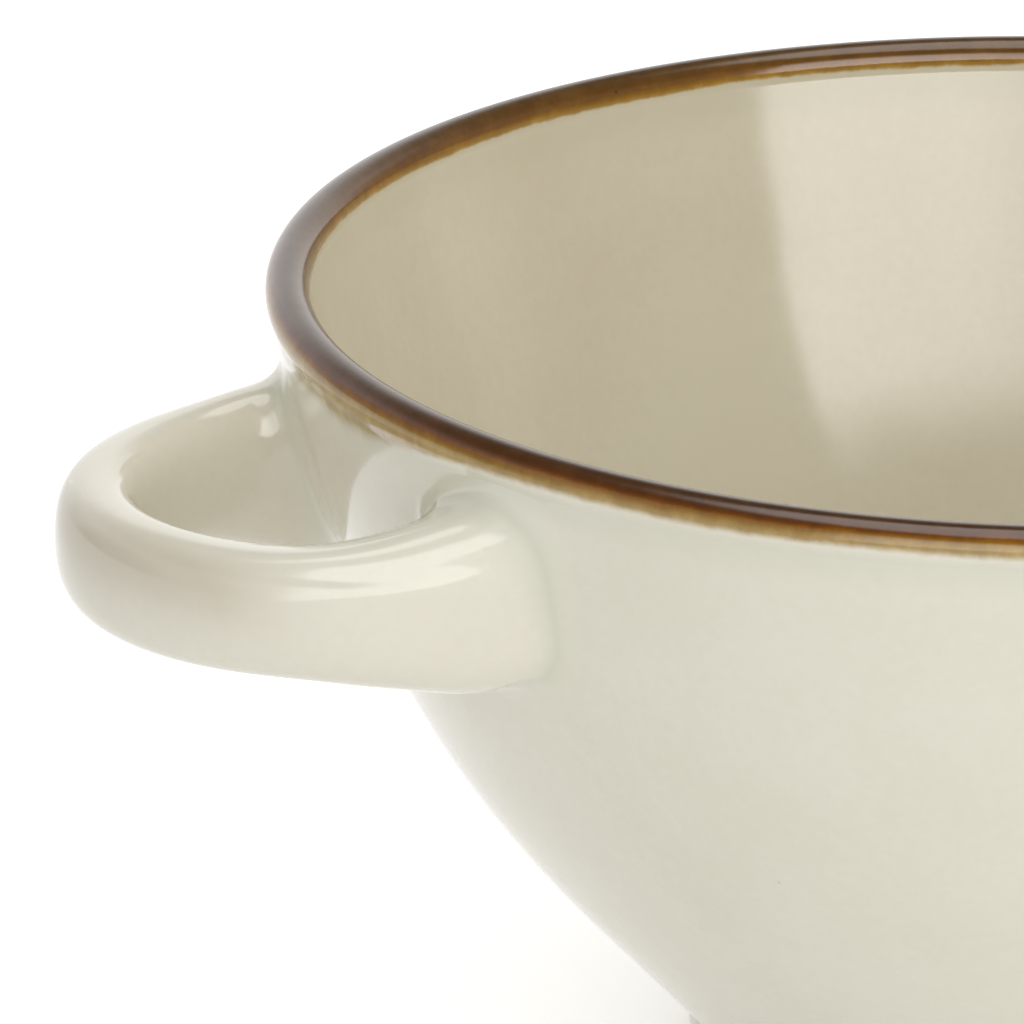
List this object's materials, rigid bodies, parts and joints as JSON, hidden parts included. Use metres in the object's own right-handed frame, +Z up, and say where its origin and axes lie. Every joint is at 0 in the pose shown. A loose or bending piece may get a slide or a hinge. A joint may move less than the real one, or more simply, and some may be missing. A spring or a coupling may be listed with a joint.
{
  "type": "french onion soup crock",
  "caption": "Stoneware soup bowl with a rolled brown lip, cream glaze, a looped handle at each side and a turned foot ring.",
  "frame": {"origin": "centre of the foot ring, on the table", "axes": "+Z up through the mouth, X through the two handles with the left handle at -X, -Y towards the viewer"},
  "size_m": [0.1792, 0.136, 0.072],
  "materials": {
    "stoneware": "matte fired clay, bare only where the foot ring stands",
    "cream_glaze": "gloss",
    "brown_glaze": "gloss"
  },
  "bodies": {
    "root": {"bowl_body": "stoneware", "left_handle": "stoneware", "right_handle": "stoneware", "left_front_slip_fillet": "stoneware", "left_rear_slip_fillet": "stoneware", "right_front_slip_fillet": "stoneware", "right_rear_slip_fillet": "stoneware", "liner_glaze": "cream_glaze", "outer_glaze": "cream_glaze", "rim_glaze": "brown_glaze", "base_glaze": "cream_glaze", "left_handle_glaze": "cream_glaze", "right_handle_glaze": "cream_glaze"}
  },
  "joints": []
}
